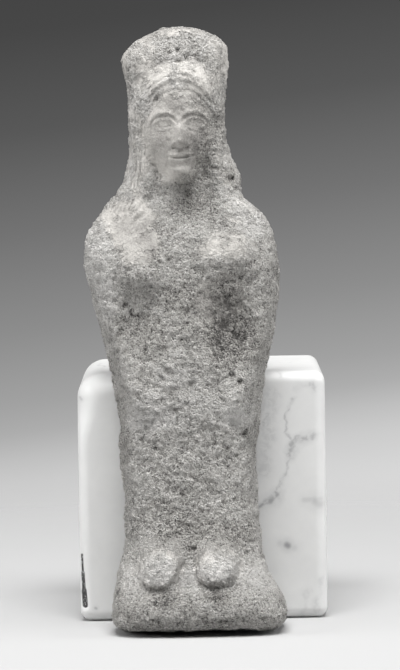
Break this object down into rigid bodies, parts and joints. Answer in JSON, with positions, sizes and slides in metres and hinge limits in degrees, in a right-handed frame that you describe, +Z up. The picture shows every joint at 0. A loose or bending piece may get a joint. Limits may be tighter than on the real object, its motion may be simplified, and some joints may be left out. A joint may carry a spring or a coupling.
{
  "type": "figure plaque",
  "caption": "Mould-made terracotta plaque of a standing woman in a domed headdress, arms at her sides, on a flared plinth, leaning on a polished marble cube.",
  "frame": {"origin": "middle of the whole, on the floor", "axes": "+Z up, the figure faces -Y, and her right side is at -X"},
  "size_m": [0.0636, 0.0988, 0.1514],
  "materials": {
    "terracotta": "granular, worn and encrusted",
    "marble": "polished, thinly veined"
  },
  "bodies": {
    "root": {"terracotta_figure": "terracotta", "marble_block": "marble"}
  },
  "joints": []
}
